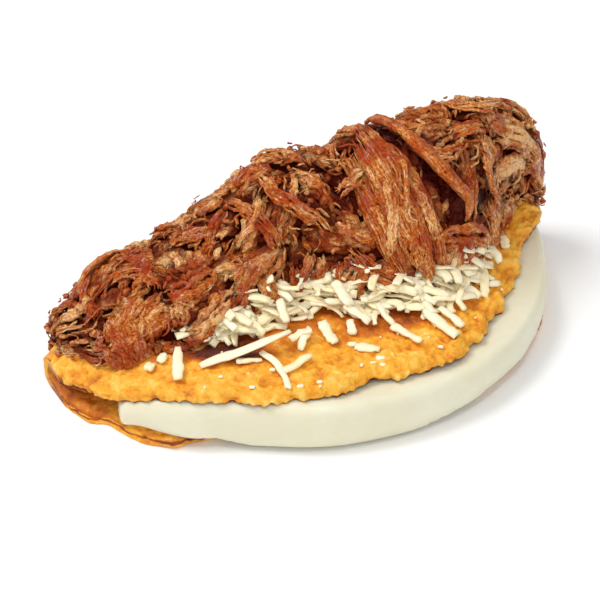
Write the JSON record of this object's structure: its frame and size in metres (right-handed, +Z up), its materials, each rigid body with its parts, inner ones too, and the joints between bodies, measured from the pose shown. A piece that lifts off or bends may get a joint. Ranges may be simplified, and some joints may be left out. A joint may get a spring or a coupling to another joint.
{
  "type": "filled corn cake",
  "caption": "Sweet corn griddle cake folded over a half-moon slab of white cheese, topped with grated cheese and a tall heap of shredded beef.",
  "frame": {"origin": "on the flat underside that the cake rests on, midway along the fold and midway from front to back", "axes": "+X along the fold towards the end with the tall beef, -Y towards the open curved front, +Z up"},
  "size_m": [0.2304, 0.1172, 0.0908],
  "materials": {
    "browned_corn": "moist griddled corn crumb with browned spots",
    "white_cheese": "smooth damp fresh cheese",
    "grated_cheese": "soft grated cheese",
    "braised_beef": "moist fibrous braised beef"
  },
  "bodies": {
    "root": {"corn_cake": "browned_corn", "cheese_slab": "white_cheese", "grated_cheese": "grated_cheese", "shredded_beef": "braised_beef"}
  },
  "joints": []
}
